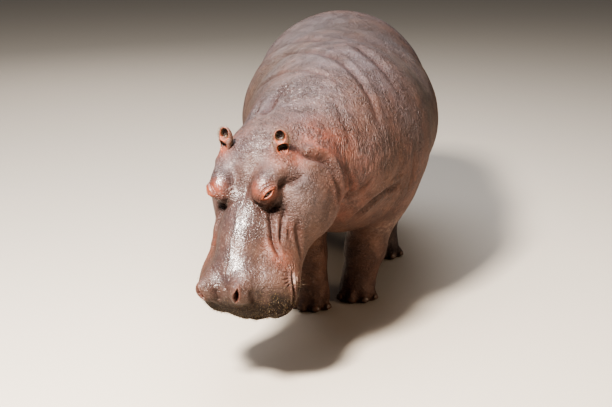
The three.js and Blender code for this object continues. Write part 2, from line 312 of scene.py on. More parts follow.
barrel_half = (RUMP_HEIGHT - 25 - BELLY_CLEARANCE) / 2
trunk = [
    mass(ellipsoid([0, 740, BELLY_CLEARANCE + barrel_half], [BARREL_WIDTH / 2, 960, barrel_half])),
    mass(ellipsoid([0, 60, 955], [440, 560, 450]), 220),
    mass(ellipsoid([0, 1360, RUMP_HEIGHT - 500], [515, 540, 500]), 200),
    *pair(lambda s: mass(ellipsoid([s * 255, 60, 805], [160, 290, 310]), 120)),
    *pair(lambda s: mass(ellipsoid([s * 300, 1420, 790], [195, 330, 390]), 130)),
    mass(ellipsoid([0, -170, 730], [240, 240, 215]), 160),
]
neck = [
    mass(taper([0, 60, 975], 410, [-110, -330, 975], 370), 180),
    mass(taper([-110, -330, 975], 370, [-245, -640, 965], 290), 100),
]
HEAD = placement([-348, -845, 1122], [53.8, -7.5, -19.6], "ZXY")
EYE_RADIUS = 24
EYE = np.array([144, -287, 97], np.float32)  # the left one; the right one mirrors it
NOSTRIL = np.array([88, -756, 52], np.float32)

head = [
    mass(ellipsoid([0, -110, -20], [155, 220, 135])),
    *pair(lambda s: mass(ellipsoid([s * 113, -266, 84], [53, 64, 56]), 45)),
    *pair(lambda s: mass(taper([s * 122, -235, 66], 42, [s * 150, -80, 38], 48), 80)),
    mass(ellipsoid([0, -440, -30], [120, 330, 112]), 70),
    mass(ellipsoid([8, -672, -90], [MUZZLE_WIDTH / 2 - 22, 135, 130]), 60),
    *pair(lambda s: mass(ellipsoid([s * 139 + 6, -640, -168], [112, 152, 130]), 50)),
    mass(ellipsoid([0, -680, -180], [130, 118, 110]), 50),
    *pair(lambda s: mass(ellipsoid([s * 84, -728, 18], [50, 66, 44]), 55)),
    mass(ellipsoid([0, -650, -250], [165, 140, 75]), 40),
    *pair(lambda s: mass(taper([s * 110, -600, -230], 75, [s * 150, -110, -240], 110), 60)),
    *pair(lambda s: mass(ellipsoid([s * 194 + 14, -165 - s * 10, -187], [116, 215, 215]), 62)),
    mass(ellipsoid([0, -430, -235], [120, 270, 80]), 60),
    mass(ellipsoid([0, -130, -190], [170, 230, 140]), 90),
    *pair(lambda s: mass(ellipsoid([s * 130, -400, -155], [85, 240, 140]), 70)),
]
# The swellings of lids and nostril rims, which the solids leave out.
lids = [
    *pair(lambda s: mass(ellipsoid(EYE * [s, 1, 1], [31, 33, 30]), 18)),
    *pair(lambda s: mass(ellipsoid((NOSTRIL + [0, 6, -4]) * [s, 1, 1], [36, 34, 46]), 40)),
]
LEGS = {
    "fore_left": ([[215, 90, 640, 148], [152, 110, 300, 110], [116, 110, 120, 98]], [104, 95], 4),
    "fore_right": ([[-240, 70, 640, 158], [-182, 10, 300, 112], [-148, -30, 120, 98]], [-144, -50], -8),
    "hind_left": (
        [[300, 1360, 700, 215], [270, 1130, 440, 150], [255, 990, 240, 106], [265, 890, 120, 98]],
        [272, 862],
        10,
    ),
    "hind_right": (
        [[-300, 1400, 700, 215], [-285, 1420, 440, 150], [-275, 1560, 260, 106], [-272, 1560, 120, 98]],
        [-272, 1530],
        -6,
    ),
}
TOE_ANGLES = (-58, -20, 20, 58)
TOE_REACH = 78


def foot_frame(name):
    _, (x, y), turn = LEGS[name]
    return placement([x, y, 0], [0, 0, turn])


foot = [
    mass(ellipsoid([0, 8, 42], [98, 104, 88])),
    *[
        mass(in_frame(placement([0, 0, 0], [0, 0, a]), ellipsoid([0, -TOE_REACH, 30], [33, 50, 46])), 16)
        for a in TOE_ANGLES
    ],
]


def leg(name):
    joints = LEGS[name][0]
    parts = []
    for i, (p, q) in enumerate(zip(joints, joints[1:])):
        parts.append(mass(taper(p[:3], p[3], q[:3], q[3]), 50 if i else 120))
    return parts + [mass(in_frame(foot_frame(name), Field(foot)), 50)]


tail = [
    mass(taper([0, 1850, 1120], 82, [0, 1985, 930], 50), 90),
    mass(taper([0, 1985, 930], 50, [0, 2010, 700], 34), 20),
    mass(ellipsoid([0, 2010, 600], [34, 20, 120]), 40),
]
legs = [m for name in LEGS for m in leg(name)]
head_field = in_frame(HEAD, Field(head))
ground = hollow(lambda p: p[:, 2].copy(), 8)
swellings = [(in_frame(HEAD, shape), blend, cut) for shape, blend, cut in lids]
body_field = Field([*trunk, *neck, *legs, mass(head_field, 110), *tail, *swellings, ground])

# ---------- meshes ----------


def to_part(points):
    return (np.asarray(points, float) + TO_ORIGIN) / 1000


def add_mesh(name, points, quads, others=()):
    """A smooth mesh from quads, or triangles, and a few faces of other sizes."""
    mesh = bpy.data.meshes.new(name)
    mesh.vertices.add(len(points))
    mesh.vertices.foreach_set("co", np.asarray(points, np.float32).ravel())
    corners = np.concatenate([quads.ravel(), *others]).astype(np.int32)
    sizes = np.array([quads.shape[1]] * len(quads) + [len(f) for f in others], np.int32)
    mesh.loops.add(len(corners))
    mesh.loops.foreach_set("vertex_index", corners)
    mesh.polygons.add(len(sizes))
    mesh.polygons.foreach_set("loop_start", np.concatenate([[0], np.cumsum(sizes)[:-1]]).astype(np.int32))
    mesh.polygons.foreach_set("loop_total", sizes)
    mesh.polygons.foreach_set("use_smooth", np.ones(len(sizes), bool))
    mesh.update(calc_edges=True)
    obj = bpy.data.objects.new(name, mesh)
    bpy.context.collection.objects.link(obj)
    return obj


head_axes = np.array(HEAD.to_3x3(), np.float32)
head_origin = np.array(HEAD.translation, np.float32)


def in_head(p):
    return (p - head_origin) @ head_axes


def from_head(p):
    return np.asarray(p, np.float32) @ head_axes.T + head_origin


def refined(points, quads, others, chosen, rounds=1):
    """Finer faces where chosen, with the new points brought to the surface."""
    old = len(points)
    points, quads, others = refine(points, quads, others, chosen)
    points[old:] = onto_surface(body_field, points[old:], rounds)[0]
    return points, quads, others


def near_places(quads, points, places, reach):
    centres = in_head(points[quads].mean(1))
    near = np.zeros(len(quads), bool)
    for place in places:
        near |= np.abs(centres - np.array(place, np.float32)).max(1) < reach
    return near


BODY_CELL = 16.0
points, quads = polygonise(body_field, [-700, -1400, -40], [640, 2110, 1500], BODY_CELL)
points = onto_surface(body_field, points)[0]
others = []
points, quads, others = refined(points, quads, others, np.ones(len(quads), bool))
local = in_head(points[quads].mean(1))
near_head = (local[:, 1] < 70) & (np.abs(local[:, 0]) < 360) & (local[:, 2] > -420)
points, quads, others = refined(points, quads, others, near_head)
local = in_head(points[quads].mean(1))
near_neck = (local[:, 1] >= 70) & (local[:, 1] < 420) & (np.abs(local[:, 0]) < 420) & (local[:, 2] > -700)
points, quads, others = refined(points, quads, others, near_neck)
face_places = [centre * [s, 1, 1] for centre in (EYE, NOSTRIL) for s in SIDES]
for reach in (66, 44):
    points, quads, others = refined(points, quads, others, near_places(quads, points, face_places, reach))
skin = add_mesh("skin", to_part(points), quads, others)

# ---------- folds, creases and unevenness of the skin ----------


def nearest_on_line(p, line):
    """For each point the distance to a polyline, and how far along it, from 0 to 1, that is."""
    line = np.asarray(line, np.float32)
    lengths = np.sqrt((np.diff(line, axis=0) ** 2).sum(1))
    starts = np.concatenate([[0], np.cumsum(lengths)])
    best = np.full(len(p), 1e9, np.float32)
    place = np.zeros(len(p), np.float32)
    for i, (a, b) in enumerate(zip(line, line[1:])):
        t = np.clip((p - a) @ (b - a) / lengths[i] ** 2, 0, 1)
        d = np.sqrt(((p - a - t[:, None] * (b - a)) ** 2).sum(1))
        closer = d < best
        best[closer] = d[closer]
        place[closer] = (starts[i] + t[closer] * lengths[i]) / starts[-1]
    return best, place


def smooth_line(line, rounds=2):
    """Corner cutting, so that a few points give a smooth curve."""
    line = np.asarray(line, float)
    for _ in range(rounds):
        before, after = line[:-1], line[1:]
        cut = np.stack([before * 0.75 + after * 0.25, before * 0.25 + after * 0.75], 1)
        line = np.concatenate([line[:1], cut.reshape(-1, 3), line[-1:]])
    return line


def fold(line, width, depth, lip=0.25, fade=0.25, place="body"):
    return {"line": line, "width": width, "depth": depth, "lip": lip, "fade": fade, "place": place}


def face_fold(line, width, depth, lip=0.25, fade=0.25, mirrored=True):
    made = [fold(line, width, depth, lip, fade, "head")]
    if mirrored:
        made.append(fold([[-x + 8, y, z] for x, y, z in line], width, depth * 0.9, lip, fade, "head"))
    return made


def mouth_corner(angle, r):
    turn = math.radians(angle)
    return [246, -608 + r * math.cos(turn), -136 + r * math.sin(turn)]


FOLDS = [
    # cheek folds, from below the eye to the corner of the mouth
    *face_fold([
        [122, -310, 14], [128, -355, 5], [146, -408, -8], [158, -465, -23], [178, -508, -48],
        [204, -545, -80],
    ], 12, 17),
    *face_fold([
        [187, -281, 3], [183, -315, -13], [182, -376, -35], [184, -453, -50], [194, -492, -70],
    ], 11, 13),
    *face_fold([[233, -345, -54], [229, -390, -107], [225, -442, -166], [223, -501, -224]], 13, 12),
    *face_fold([[205, -330, -20], [206, -390, -60], [208, -450, -100]], 9, 5),
    # the hollow round the foot of the eye's swelling, and under the ridge from eye to ear
    *face_fold([
        [48, -322, 84], [84, -340, 66], [112, -348, 28], [136, -329, 4], [160, -285, 12],
    ], 15, 17, 0.15),
    *face_fold([
        [262, -135, 0], [244, -170, 15], [208, -203, 32], [186, -240, 60], [180, -268, 74],
    ], 19, 19, 0.2),
    *face_fold([[150, -220, 118], [178, -165, 84], [198, -132, 50], [228, -112, 22]], 24, -8, 0),
    # the furrows between forehead and eye swellings
    *face_fold([
        [60, -120, 105], [34, -190, 103], [22, -258, 91], [22, -330, 80],
    ], 26, 9, 0.1, mirrored=False),
    *face_fold([[-77, -150, 99], [-48, -213, 98], [-30, -278, 87]], 24, 8, 0.1, mirrored=False),
    # the deep crease behind ear and jowl
    *face_fold([
        [186, -30, 1], [226, -40, -11], [266, -36, -47], [291, -23, -109], [312, -52, -160],
        [318, -100, -214], [312, -150, -277], [287, -194, -345],
    ], 24, 34, 0.35, 0.2),
    # the mouth line
    *face_fold([
        [0, -800, -232], [80, -796, -236], [160, -768, -230], [222, -722, -202], [250, -682, -166],
        [252, -640, -132], [246, -604, -120], [234, -566, -128],
    ], 7, 15, 0.5, 0.12),
    *face_fold([[262, -660, -205], [264, -615, -178], [254, -570, -176]], 7, 7, 0.4),
    # wrinkles that spread from the corner of the mouth
    *[f for angle in range(5, 150, 18) for f in face_fold(
        [mouth_corner(angle, r) for r in (30, 56, 84)], 3.6, 4.5, 0.4, 0.4,
    )],
    # rims of the muzzle
    *face_fold([[140, -728, 34], [150, -765, -2], [128, -792, -40]], 13, 8, 0.3),
    *face_fold([[34, -738, 60], [30, -778, 30], [38, -802, -10]], 16, 9, 0.3),
    # nape, shoulders and back
    fold([
        [-363, -745, 1230], [-336, -563, 1251], [-306, -479, 1289], [-274, -436, 1317],
        [-225, -380, 1350],
    ], 24, 17),
    fold([[-425, -680, 1190], [-413, -467, 1210], [-380, -420, 1250]], 20, 11),
    fold([[-300, -560, 1275], [-262, -520, 1290], [-235, -470, 1305]], 16, 7),
    fold([
        [-459, 627, 1230], [-346, 511, 1314], [-210, 106, 1404], [-104, -51, 1425], [3, -183, 1406],
        [96, -318, 1348], [156, -431, 1268], [191, -495, 1185], [217, -529, 1091], [233, -533, 1016],
    ], 22, 14, 0.3),
    fold([
        [-508, 337, 1087], [-422, 106, 1223], [-282, -167, 1339], [-147, -325, 1378],
        [-45, -403, 1362], [46, -479, 1307], [96, -547, 1231],
    ], 16, 8),
    fold([
        [-473, 838, 1217], [-330, 744, 1341], [-178, 596, 1400], [-2, 270, 1439], [117, 2, 1428],
        [237, -126, 1345], [303, -235, 1235], [334, -308, 1120],
    ], 30, 13, 0.3),
    # chest, shoulder, groin and elbow, on both sides
    *[f for s in SIDES for f in (
        fold([
            [s * 42, -455, 605], [s * 93, -500, 678], [s * 153, -505, 732], [s * 213, -475, 775],
            [s * 277, -386, 785], [s * 330, -260, 770],
        ], 20, 18, 0.4),
        fold([
            [s * 14 + (s - 1) * 60, -853, 822], [s * 71, -652, 810], [s * 140, -611, 851],
            [s * 189, -582, 915],
        ], 18, 10),
        fold([
            [s * 400, -240, 990], [s * 405, -250, 900], [s * 385, -240, 800], [s * 350, -210, 700],
        ], 20, 9),
        fold([
            [s * 150, 560, 425], [s * 290, 900, 470], [s * 410, 1080, 600], [s * 470, 1130, 760],
        ], 26, 16),
        fold([[s * 250, 230, 470], [s * 350, 250, 560], [s * 410, 250, 680]], 22, 14),
    )],
    fold([[35, -750, 1018], [60, -725, 937], [71, -676, 848], [47, -624, 751]], 16, 10),
    fold([[-30, -560, 1250], [30, -640, 1150], [70, -700, 1050]], 18, 7),
]


def hashed(cell, seed):
    n = cell[:, 0] * 374761393 + cell[:, 1] * 668265263 + cell[:, 2] * 2147483647 + seed * 1442695041
    n = (n ^ (n >> 13)) * 1274126177
    n = n ^ (n >> 16)
    return ((n & 0xFFFF) / 65535.0).astype(np.float32)


def noise(p, size, seed=0):
    """Smooth value noise between -1 and 1, with features about as large as size."""
    q = p / np.float32(size)
    cell = np.floor(q).astype(np.int64)
    f = (q - cell).astype(np.float32)
    f = f * f * (3 - 2 * f)
    weights = (1 - f, f)
    total = np.zeros(len(p), np.float32)
    for i in (0, 1):
        for j in (0, 1):
            for k in (0, 1):
                weight = weights[i][:, 0] * weights[j][:, 1] * weights[k][:, 2]
                total += weight * hashed(cell + [i, j, k], seed)
    return total * 2 - 1


def spots(p, places):
    """How near the points are to soft-edged spots: 1 at a spot's centre, 0 well outside."""
    out = np.zeros(len(p), np.float32)
    for x, y, z, radius, strength in places:
        d2 = ((p - np.array([x, y, z], np.float32)) ** 2).sum(1)
        out = np.maximum(out, strength * np.exp(-d2 / radius**2))
    return out


def vertex_normals(mesh):
    out = np.empty(len(mesh.vertices) * 3, np.float32)
    mesh.vertices.foreach_get("normal", out)
    return out.reshape(-1, 3)


def attribute(mesh, name, values):
    kind = "FLOAT" if values.ndim == 1 else "FLOAT_VECTOR"
    made = mesh.attributes.new(name, kind, "POINT")
    made.data.foreach_set("value" if values.ndim == 1 else "vector", values.astype(np.float32).ravel())


outward = vertex_normals(skin.data)
local = in_head(points)
on_head = 1 / (1 + np.exp((local[:, 1] - 10) / 25))
lift = np.zeros(len(points), np.float32)
painted_fold_shade = np.zeros(len(points), np.float32)
for f in FOLDS:
    line = smooth_line(from_head(f["line"]) if f["place"] == "head" else f["line"])
    line = onto_surface(body_field, line, 3, 40.0)[0]
    reach = f["width"] * 3
    close = np.flatnonzero(((points > line.min(0) - reach) & (points < line.max(0) + reach)).all(1))
    if len(close) == 0:
        continue
    d, along = nearest_on_line(points[close], line)
    d = d + noise(points[close], 55, 7) * f["width"] * 0.18
    ends = np.clip(np.minimum(along, 1 - along) / f["fade"], 0, 1)
    ends = ends * ends * (3 - 2 * ends)
    groove = np.exp(-((np.abs(d) / f["width"]) ** 1.5)) * ends
    rise = np.exp(-(((d - 2.0 * f["width"]) / f["width"]) ** 2)) * ends
    lift[close] -= f["depth"] * (groove - f["lip"] * rise)
    # how dark each fold is painted: painted shade in its groove
    painted_fold_shade[close] = np.maximum(painted_fold_shade[close], groove * min(1, f["depth"] / 14))

sole = np.clip((points[:, 2] - 20) / 60, 0, 1)
soft = noise(points, 210, 1) * 4.0 + noise(points, 95, 2) * 1.8
lift += soft * sole * (1 - 0.7 * on_head) - 2.0
lift += on_head * (noise(local, 60, 3) * 1.5 + noise(local, 28, 4) * 0.4)
# crosswise wrinkles on nape and neck, and lengthwise ones on the face
ripple = noise(points * np.array([1, 2.6, 1.3], np.float32), 62, 5)
nape = spots(points, [(-150, -350, 1250, 420, 1), (150, -420, 1000, 330, 0.7)])
lift += np.abs(ripple) * -4.0 * (1 - on_head) * sole * nape
face_ripple = noise(local * np.array([1.0, 2.2, 1.0], np.float32), 30, 6)
lined = spots(local, [(0, -120, 110, 150, 1), (0, -520, 60, 190, 0.25), (150, -560, -60, 120, 0.5)])
lift -= np.abs(face_ripple) * 2.0 * on_head * lined
# fine wrinkles that follow the body: down the neck and the flanks, and over the back
girth = noise(points * np.array([1.0, 1.0, 0.42], np.float32), 26, 8)
girth_wide = noise(points * np.array([0.8, 1.0, 0.5], np.float32), 52, 9)
lift -= (np.abs(girth) * 1.5 + np.abs(girth_wide) * 1.5) * (1 - on_head) * sole
# the stippled pad of the lips
stubble = np.clip((-local[:, 1] - 640) / 90, 0, 1) * np.clip((20 - local[:, 2]) / 60, 0, 1) * on_head
lift += stubble * (noise(local, 19, 15) * 1.7 + noise(local, 9, 16) * 1.3)


def almond(middle, outward, along, half_length, rise, drop):
    """How far the skin's points lie inside an almond-shaped opening, and in its upper or lower half."""
    outward = np.array(outward, np.float32) / np.linalg.norm(outward)
    along = np.array(along, np.float32) - outward * np.dot(outward, along)
    along /= np.linalg.norm(along)
    upward = np.cross(outward, along)
    best = np.full((len(points), 2), -1e3, np.float32)
    for side in SIDES:
        away = local * np.array([side, 1, 1], np.float32) - middle
        close = np.flatnonzero((np.abs(away).max(1) < 90) & (away @ outward > -12))
        u, v = away[close] @ along, away[close] @ upward
        above = (half_length**2 + rise**2) / (2 * rise)
        below = (half_length**2 + drop**2) / (2 * drop)
        upper = above - np.sqrt(u**2 + (v + above - rise) ** 2)
        lower = below - np.sqrt(u**2 + (v - below + drop) ** 2)
        sign = np.where(upper < lower, 1, -1) * (1 - 0.3 * (u / half_length) ** 2)
        best[close] = np.stack([np.minimum(upper, lower), sign], 1)
    return best[:, 0], best[:, 1], outward, along, upward


def ridge(inside, at, width):
    return np.exp(-(((inside - at) / width) ** 2))


# Lids round an opening that lets the eyeball show, and nostrils.
GAZE, SLIT = (0.60, -0.50, 0.62), (0.66, 0.75, 0.02)
EYE_POCKET = 13
NOSTRIL_POCKET = 40
NOSTRIL_RIM = 3
inside, upper_lid, *eye_axes = almond(EYE, GAZE, SLIT, 25, 8, 7)
above = np.clip(upper_lid, 0, 1)
eye_in = 1 / (1 + np.exp(-(inside - 0.5) / 0.9))
lift *= 1 - np.clip((inside + 26) / 14, 0, 1)
lift += ridge(inside, -5, 3.5) * (2.0 + 2.5 * above) + ridge(inside, -12, 6) * 3.5 * above
lift -= ridge(inside, -22, 3.0) * (2.5 + 2 * above)
lift -= ridge(inside, -14, 2.2) * 2.2 * np.clip(-upper_lid, 0, 1)
lift -= ridge(inside, -33, 4.0) * 2.0
lift -= eye_in * EYE_POCKET
nostril_in, *_ = almond(NOSTRIL, (0.34, -0.78, 0.52), (0.38, 0.50, 0.78), 33, 11, 10)
nostril_rim = ridge(nostril_in, -7, 6)
nostril_in = 1 / (1 + np.exp(-(nostril_in - 0.5) / 1.4))
lift += nostril_rim * NOSTRIL_RIM - nostril_in * NOSTRIL_POCKET
points = points + outward * lift[:, None]
points[:, 2] = np.maximum(points[:, 2], 0)
skin.data.vertices.foreach_set("co", to_part(points).astype(np.float32).ravel())
skin.data.update()


def mirrored(places):
    return [(side * x, *rest) for side in SIDES for x, *rest in places]


# How strongly each colour or state shows at each point of the skin: places are x, y, z, radius and strength.
PINK_BODY = [
    (-60, -830, 1130, 130, 0.75), (20, -760, 1100, 150, 0.45), (60, -700, 900, 190, 0.6),
    (30, -640, 740, 150, 0.55), (420, -100, 760, 330, 0.22), (500, 500, 700, 400, 0.16),
    (-420, -100, 760, 330, 0.22), (-500, 500, 700, 400, 0.16), (-330, -700, 900, 190, 0.5),
    (-560, -760, 1080, 130, 0.6),
]
PINK_HEAD = [
    (150, -292, 100, 44, 1.0), (112, -290, 118, 44, 0.8), (165, -75, 80, 62, 1.1), (205, -70, 30, 60, 0.9),
    (165, -490, -30, 46, 0.55), (200, -545, -80, 60, 0.7), (240, -600, -130, 50, 0.5),
    (290, -150, -260, 120, 0.35), (240, -620, -160, 38, 0.9), (200, -400, -60, 60, 0.3),
    (92, -770, 40, 18, 0.3),
]
WET_HEAD = [
    (0, -420, 90, 200, 1.0), (0, -640, 60, 200, 0.9), (-115, -260, 130, 90, 1), (115, -250, 135, 80, 0.8),
    (0, -40, 120, 130, 0.8),
]
WET_BODY = [(-300, -500, 1280, 300, 0.8), (-100, 100, 1420, 420, 0.5), (0, 900, 1450, 600, 0.4)]
SLEEK_MIDDLE = [(0, -420, 90, 150, 1), (10, -560, 60, 150, 1), (0, -690, 50, 110, 0.9)]
SLEEK_SIDES = [
    (113, -270, 130, 75, 1), (170, -170, 85, 60, 0.9), (250, -200, -120, 130, 0.35),
    (100, -640, -20, 90, 0.6),
]
GREEN = [
    (420, 250, 1130, 300, 0.7), (480, 700, 1050, 350, 0.6), (-420, 350, 1130, 350, 0.5),
    (150, 900, 1420, 400, 0.3),
]
pink = np.maximum(spots(points, PINK_BODY), spots(local, mirrored(PINK_HEAD)))
pink *= 0.75 + 0.35 * noise(points, 70, 11)
wet = np.maximum(spots(local, WET_HEAD), spots(points, WET_BODY))
wet *= 0.85 + 0.3 * noise(points, 45, 12)
# mud on the lower front of the muzzle, at the corners of the mouth and under the chin
ragged_edge = noise(local, 60, 13) * 40 + noise(local, 22, 14) * 16
front = np.clip((-local[:, 1] - 655) / 70, 0, 1) * on_head
under = np.clip((-local[:, 2] + 34 + ragged_edge) / 105, 0, 1)
muck = np.maximum(front * under, spots(local, mirrored([(245, -640, -215, 60, 0.8)])))
muck = np.maximum(muck, spots(local, [(0, -700, -330, 190, 0.7)]))
# dark lower legs, except a painted patch of light on the left foreleg, and the whole right foreleg dark as
# painted shadow
low = np.clip((620 + noise(points, 90, 18) * 60 - points[:, 2]) / 260, 0, 1) * (1 - on_head)
low *= 1 - spots(points, [(265, 20, 500, 150, 0.9)])
low = np.maximum(low, spots(points, [(-190, 20, 420, 290, 1.1)]) * (1 - on_head))
corner_pale = spots(local, mirrored([(250, -612, -146, 30, 1.0)]))
paint = {
    "pink": pink,
    "wet": wet,
    "muck": muck,
    "low": low,
    "green": spots(points, GREEN),
    "painted_fold_shade": painted_fold_shade,
    "on_head": on_head,
    "flesh": nostril_in,
    "rims": np.maximum(ridge(inside, -6, 7), 0.2 * nostril_rim),
    # pale patches at the corners of the mouth, and the painted patch of light on the left foreleg
    "pale": np.maximum(corner_pale, spots(points, [(270, 0, 500, 120, 0.6)])),
    # the inside of the eye's opening, painted near black: painted shade round the eyeball
    "lids": eye_in,
    "sleek": spots(local, SLEEK_MIDDLE + mirrored(SLEEK_SIDES)),
}
for name, values in paint.items():
    attribute(skin.data, name, np.clip(values, 0, 1))
attribute(skin.data, "face", local / 1000)

# ---------- materials ----------


class Nodes:
    """Short calls for building a node tree."""

    def __init__(self, material):
        self.tree = material.node_tree
        self.surface = self.tree.nodes["Principled BSDF"]

    def link(self, value, socket):
        if isinstance(value, bpy.types.NodeSocket):
            self.tree.links.new(value, socket)
        else:
            socket.default_value = value

    def shade(self, name, value):
        self.link(value, self.surface.inputs[name])

    def add(self, kind, inputs=(), **settings):
        node = self.tree.nodes.new("ShaderNode" + kind)
        for key, value in settings.items():
            setattr(node, key, value)
        for key, value in dict(inputs).items():
            self.link(value, node.inputs[key])
        return node

    def math(self, operation, a, b=0.0, clamp=False):
        return self.add("Math", {0: a, 1: b}, operation=operation, use_clamp=clamp).outputs[0]

    def times(self, a, b, clamp=False):
        return self.math("MULTIPLY", a, b, clamp)

    def attribute(self, name, output="Fac"):
        return self.add("Attribute", attribute_name=name).outputs[output]

    def mix(self, factor, a, b, blend="MIX"):
        node = self.add("Mix", data_type="RGBA", blend_type=blend, clamp_factor=True)
        self.link(factor, node.inputs[0])
        self.link(a, node.inputs[6])
        self.link(b, node.inputs[7])
        return node.outputs[2]

    def scaled(self, vector, scale):
        return self.add("Mapping", {"Vector": vector, "Scale": scale}).outputs[0]

    def noise(self, vector, scale, detail=3.0, rough=0.55, distortion=0.0):
        inputs = {"Vector": vector, "Scale": scale, "Detail": detail, "Roughness": rough}
        return self.add("TexNoise", {**inputs, "Distortion": distortion}).outputs["Fac"]

    def cells(self, vector, scale, feature="F1", output="Distance", randomness=1.0):
        inputs = {"Vector": vector, "Scale": scale, "Randomness": randomness}
        return self.add("TexVoronoi", inputs, feature=feature).outputs[output]

    def ramp(self, factor, low, high, out_low=0.0, out_high=1.0):
        inputs = {"Value": factor, 1: low, 2: high, 3: out_low, 4: out_high}
        return self.add("MapRange", inputs, clamp=True, interpolation_type="SMOOTHSTEP").outputs[0]

    def bump(self, height, distance, strength=1.0, normal=None):
        node = self.add("Bump", {"Height": height, "Distance": distance, "Strength": strength})
        if normal is not None:
            self.link(normal, node.inputs["Normal"])
        return node.outputs[0]


def material(name):
    made = bpy.data.materials.new(name)
    made.use_nodes = True
    return made, Nodes(made)


hide, n = material("hide")
where = n.add("TexCoord").outputs["Object"]
face = n.attribute("face", "Vector")
on_face, wet, muck, pink, sleek = [n.attribute(name) for name in ("on_head", "wet", "muck", "pink", "sleek")]
height = n.add("SeparateXYZ", {"Vector": where}).outputs["Z"]


def strayed(vector, scale, distance):
    """The coordinates bent by noise, so that no pattern on them runs straight."""
    stray = n.add("TexNoise", {"Vector": vector, "Scale": scale, "Detail": 2.0}).outputs["Color"]
    centred = n.add("VectorMath", {0: stray, 1: (0.5, 0.5, 0.5)}, operation="SUBTRACT").outputs[0]
    moved = n.add("VectorMath", {0: centred, "Scale": distance}, operation="SCALE").outputs[0]
    return n.add("VectorMath", {0: vector, 1: moved}, operation="ADD").outputs[0]


broad = n.noise(where, 2.2, 4)
patch = n.noise(where, 8.0, 5, 0.62)
mottle = n.noise(where, 36.0, 4, 0.68)
fine = n.noise(where, 170.0, 3, 0.7)
# wrinkles in nets: across the back, down the neck and flanks, and across the face
bent = strayed(strayed(where, 5.0, 0.09), 28.0, 0.018)
bent_face = strayed(strayed(face, 9.0, 0.04), 34.0, 0.012)
upper = n.ramp(height, 1.10, 1.34)


def wrinkles(size):
    """Heights of a net of wrinkles, its meshes about 1 / size metres long: 0 in a wrinkle, 1 between."""
    side = n.cells(n.scaled(bent, (1.0, 0.9, 0.24)), size, "DISTANCE_TO_EDGE")
    back = n.cells(n.scaled(bent, (0.9, 1.3, 1.0)), size * 0.85, "DISTANCE_TO_EDGE")
    front = n.cells(n.scaled(bent_face, (0.5, 1.3, 1.0)), size * 1.1, "DISTANCE_TO_EDGE")
    return n.ramp(n.mix(on_face, n.mix(upper, side, back), front), 0.0, 0.30)


net_fine = wrinkles(96.0)
net_wide = wrinkles(34.0)
wrinkled_areas = n.ramp(n.noise(where, 11.0, 3), 0.38, 0.62, 0.35, 1.0)
smooth = n.math("MAXIMUM", sleek, n.times(on_face, 0.45))
wide_depth = n.times(wrinkled_areas, n.ramp(smooth, 0.0, 1.0, 1.0, 0.04))
fine_depth = n.times(wrinkled_areas, n.ramp(smooth, 0.0, 1.0, 1.0, 0.22))
pores = n.ramp(n.cells(where, 230.0), 0.12, 0.55)
# long streaks down the wet face
streaks = n.noise(n.scaled(bent_face, (1.0, 0.16, 0.6)), 34.0, 3, 0.6)

grey = n.mix(patch, (0.062, 0.044, 0.045, 1), (0.120, 0.092, 0.095, 1))
brown = n.mix(patch, (0.066, 0.030, 0.021, 1), (0.130, 0.066, 0.048, 1))
floor_bounce_tone = n.mix(patch, (0.074, 0.026, 0.011, 1), (0.155, 0.064, 0.030, 1))
slate = n.mix(patch, (0.026, 0.020, 0.023, 1), (0.078, 0.066, 0.073, 1))
flush = n.mix(patch, (0.20, 0.036, 0.014, 1), (0.34, 0.090, 0.044, 1))
leg_black = n.mix(patch, (0.012, 0.007, 0.006, 1), (0.052, 0.029, 0.023, 1))
raw = n.mix(patch, (0.14, 0.028, 0.011, 1), (0.26, 0.075, 0.032, 1))
grains = n.times(muck, n.ramp(n.cells(face, 120.0), 0.14, 0.32, 1.0, 0.0), clamp=True)
pale_flecks = n.ramp(n.noise(where, 85.0, 3), 0.52, 0.70, 0.0, 0.26)
# how much each colour covers those before it, and the colour
layers = [
    # the lower body warmer and more orange towards the floor: painted light reflected from the floor
    (n.times(n.ramp(height, 0.60, 1.15, 1.0, 0.0), 0.75), floor_bounce_tone),
    (n.times(wet, 0.85, clamp=True), slate),
    (n.times(sleek, n.ramp(streaks, 0.36, 0.60, 0.0, 0.5)), (0.022, 0.016, 0.018, 1)),
    (n.times(n.attribute("green"), 0.5), (0.120, 0.100, 0.046, 1)),
    # dark lower legs, and the painted shadow over the whole right foreleg
    (n.times(n.attribute("low"), 0.92), leg_black),
    (n.times(pink, n.ramp(mottle, 0.30, 0.62, 0.35, 1.2), clamp=True), flush),
    (n.ramp(mottle, 0.40, 0.68, 0.0, 0.36), (0.050, 0.026, 0.021, 1)),
    (pale_flecks, (0.30, 0.21, 0.18, 1)),
    (n.times(muck, n.ramp(mottle, 0.30, 0.62, 1.0, 0.85)), (0.010, 0.007, 0.003, 1)),
    (n.times(grains, 0.8), (0.230, 0.160, 0.070, 1)),
    # painted shade in the grooves of the folds
    (n.times(n.attribute("painted_fold_shade"), 0.75), (0.045, 0.014, 0.009, 1)),
    # painted shade in the grooves of the wrinkle nets, strongest where the nets are deepest
    (n.times(wide_depth, n.ramp(net_wide, 0.0, 0.8, 0.40, 0.0)), (0.040, 0.019, 0.016, 1)),
    (n.times(fine_depth, n.ramp(net_fine, 0.0, 1.0, 0.62, 0.0)), (0.034, 0.017, 0.014, 1)),
    (n.times(n.attribute("rims"), 0.85), raw),
    # pale mouth corners, and the painted patch of light on the left foreleg
    (n.times(n.attribute("pale"), n.ramp(mottle, 0.3, 0.6, 0.9, 0.2)), (0.42, 0.31, 0.27, 1)),
    # the inside of the eye's opening painted near black: painted shade round the eyeball
    (n.attribute("lids"), (0.030, 0.008, 0.006, 1)),
    (n.attribute("flesh"), (0.085, 0.004, 0.004, 1)),
]
base = n.mix(n.ramp(broad, 0.38, 0.62), brown, grey)
for amount, colour in layers:
    base = n.mix(amount, base, colour)
